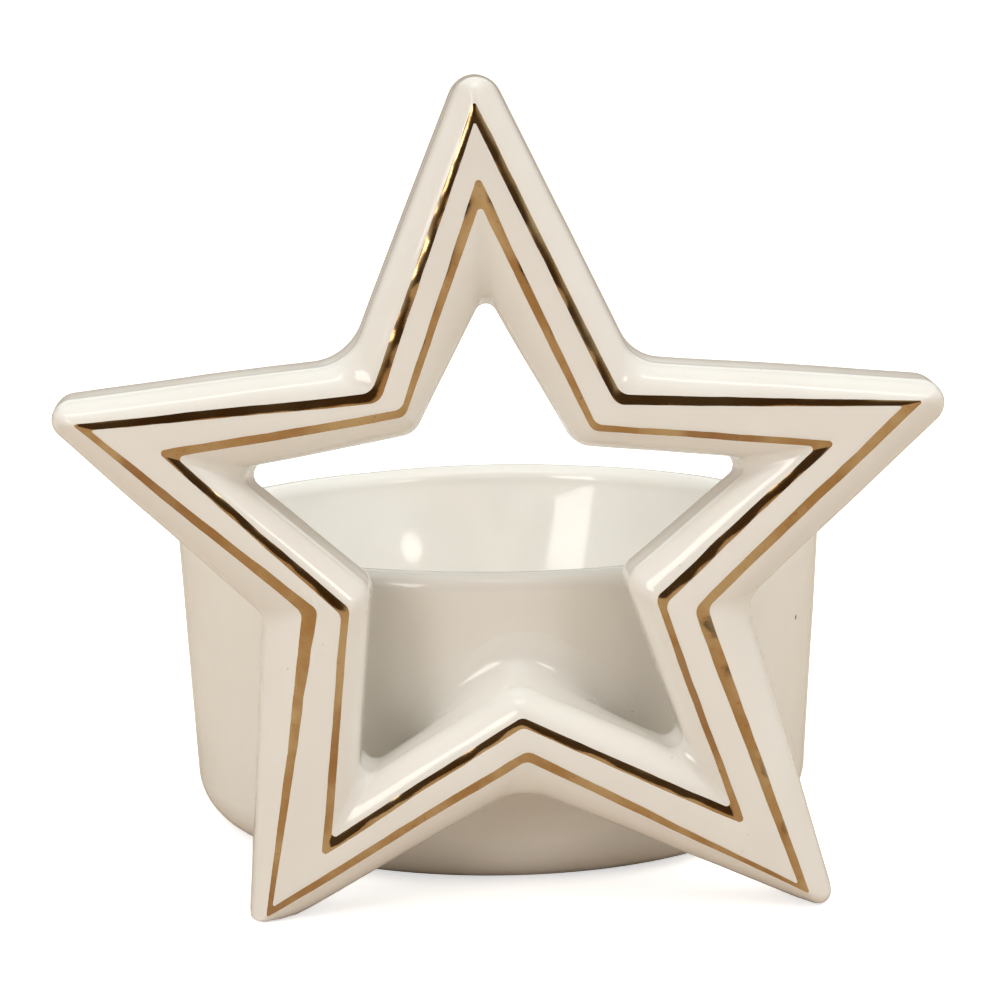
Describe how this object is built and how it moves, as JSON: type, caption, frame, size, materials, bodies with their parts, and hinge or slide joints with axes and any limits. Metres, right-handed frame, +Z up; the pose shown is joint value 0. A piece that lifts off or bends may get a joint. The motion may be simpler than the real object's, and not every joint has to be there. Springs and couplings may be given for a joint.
{
  "type": "tealight holder",
  "caption": "Glazed ceramic tealight holder: an upright hollow star with painted gold outlines, bonded to the front of a round open cup.",
  "frame": {"origin": "centre of the cup's flat foot, on the surface that the holder stands on", "axes": "+Z up along the cup's axis, -Y towards the side that the star faces, +X to the right as seen from that side"},
  "size_m": [0.0894, 0.0814, 0.0849],
  "materials": {
    "star_glaze": "glossy warm white glaze",
    "cup_glaze": "glossy warm white glaze",
    "slip_glaze": "glossy warm white glaze",
    "gold_lustre_outer": "fired gold lustre, mirror bright",
    "gold_lustre_inner": "fired gold lustre, mirror bright"
  },
  "bodies": {
    "root": {"star_frame": "star_glaze", "candle_cup": "cup_glaze", "luting_joint": "slip_glaze", "outer_gold_line": "gold_lustre_outer", "inner_gold_line": "gold_lustre_inner"}
  },
  "joints": []
}
